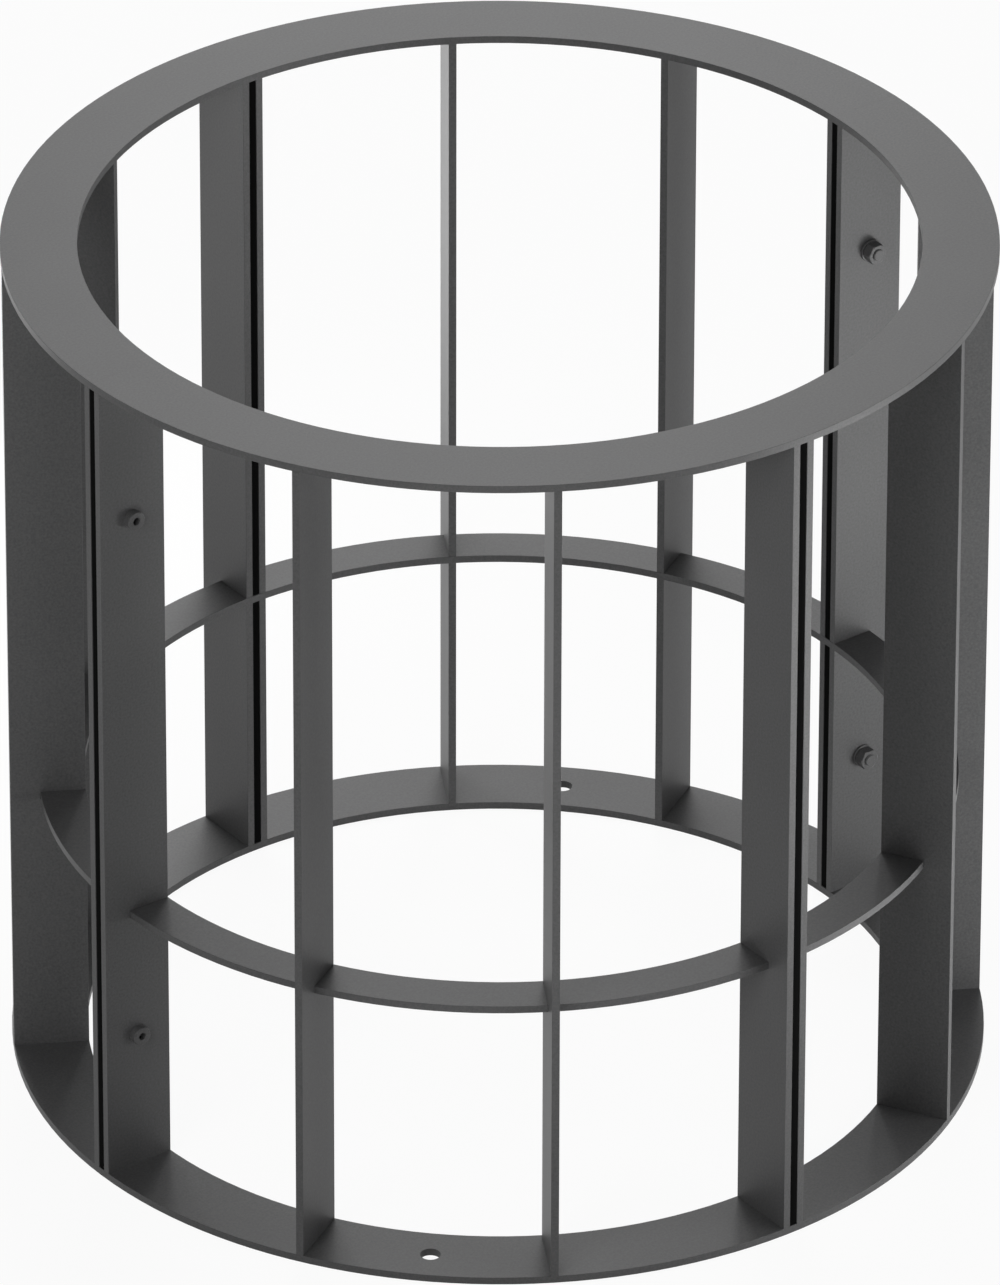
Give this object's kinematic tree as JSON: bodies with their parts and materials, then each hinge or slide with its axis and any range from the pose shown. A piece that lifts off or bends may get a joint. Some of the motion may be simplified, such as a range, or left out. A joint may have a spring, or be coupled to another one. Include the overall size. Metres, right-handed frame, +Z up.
{
  "type": "tree guard",
  "caption": "Round cage of flat steel uprights between flat rings, made as halves bolted together around a tree trunk to keep knocks and wheels off it.",
  "frame": {"origin": "centre of the guard's underside, on the axis of its rings", "axes": "+Z up along the axis of the rings; the halves meet in the XZ plane, the rear half lies at +Y"},
  "size_m": [0.65, 0.6498, 0.6],
  "materials": {
    "frame_paint": "dark grey powder coat, fine grain, satin",
    "fastener_finish": "dark grey coated steel, satin",
    "strip_rubber": "black rubber, matt"
  },
  "bodies": {
    "rear_half": {"rear_top_ring": "frame_paint", "rear_middle_ring": "frame_paint", "rear_base_ring": "frame_paint", "rear_end_upright_right": "frame_paint", "rear_pair_upright_right": "frame_paint", "rear_end_upright_left": "frame_paint", "rear_pair_upright_left": "frame_paint", "rear_upright_1": "frame_paint", "rear_upright_2": "frame_paint", "rear_upright_3": "frame_paint", "rear_upright_4": "frame_paint", "rear_pair_strip": "strip_rubber", "right_seam_strip": "strip_rubber", "right_upper_bolt": "fastener_finish", "right_lower_bolt": "fastener_finish"},
    "front_half": {"front_top_ring": "frame_paint", "front_middle_ring": "frame_paint", "front_base_ring": "frame_paint", "front_end_upright_right": "frame_paint", "front_pair_upright_right": "frame_paint", "front_end_upright_left": "frame_paint", "front_pair_upright_left": "frame_paint", "front_upright_1": "frame_paint", "front_upright_2": "frame_paint", "front_upright_3": "frame_paint", "front_upright_4": "frame_paint", "front_pair_strip": "strip_rubber", "left_seam_strip": "strip_rubber", "left_upper_bolt": "fastener_finish", "left_lower_bolt": "fastener_finish"},
    "left_upper_washer": {"left_upper_washer": "fastener_finish"},
    "left_upper_nut": {"left_upper_nut": "fastener_finish"},
    "left_lower_washer": {"left_lower_washer": "fastener_finish"},
    "left_lower_nut": {"left_lower_nut": "fastener_finish"},
    "right_upper_washer": {"right_upper_washer": "fastener_finish"},
    "right_upper_nut": {"right_upper_nut": "fastener_finish"},
    "right_lower_washer": {"right_lower_washer": "fastener_finish"},
    "right_lower_nut": {"right_lower_nut": "fastener_finish"}
  },
  "joints": [
    {"name": "front_half_draw_off", "type": "slide", "parent": "rear_half", "child": "front_half", "axis": [0, -1, 0], "range_m": [0, 0.35]},
    {"name": "left_upper_washer_travel", "type": "slide", "parent": "rear_half", "child": "left_upper_washer", "axis": [0, 1, 0], "range_m": [0, 0.0076]},
    {"name": "left_upper_nut_turn", "type": "hinge", "parent": "left_upper_washer", "child": "left_upper_nut", "pos_m": [-0.2999, 0.0096, 0.495], "axis": [0, 1, 0], "range_deg": [0, 2160]},
    {"name": "left_lower_washer_travel", "type": "slide", "parent": "rear_half", "child": "left_lower_washer", "axis": [0, 1, 0], "range_m": [0, 0.0076]},
    {"name": "left_lower_nut_turn", "type": "hinge", "parent": "left_lower_washer", "child": "left_lower_nut", "pos_m": [-0.2999, 0.0096, 0.105], "axis": [0, 1, 0], "range_deg": [0, 2160]},
    {"name": "right_upper_washer_travel", "type": "slide", "parent": "front_half", "child": "right_upper_washer", "axis": [0, -1, 0], "range_m": [0, 0.0076]},
    {"name": "right_upper_nut_turn", "type": "hinge", "parent": "right_upper_washer", "child": "right_upper_nut", "pos_m": [0.2999, -0.0096, 0.495], "axis": [0, -1, 0], "range_deg": [0, 2160]},
    {"name": "right_lower_washer_travel", "type": "slide", "parent": "front_half", "child": "right_lower_washer", "axis": [0, -1, 0], "range_m": [0, 0.0076]},
    {"name": "right_lower_nut_turn", "type": "hinge", "parent": "right_lower_washer", "child": "right_lower_nut", "pos_m": [0.2999, -0.0096, 0.105], "axis": [0, -1, 0], "range_deg": [0, 2160]}
  ],
  "couplings": [
    {"joint": "left_upper_washer_travel", "follows": "left_upper_nut_turn", "m_per_rad": 0.00019894},
    {"joint": "left_lower_washer_travel", "follows": "left_lower_nut_turn", "m_per_rad": 0.00019894},
    {"joint": "right_upper_washer_travel", "follows": "right_upper_nut_turn", "m_per_rad": 0.00019894},
    {"joint": "right_lower_washer_travel", "follows": "right_lower_nut_turn", "m_per_rad": 0.00019894}
  ]
}
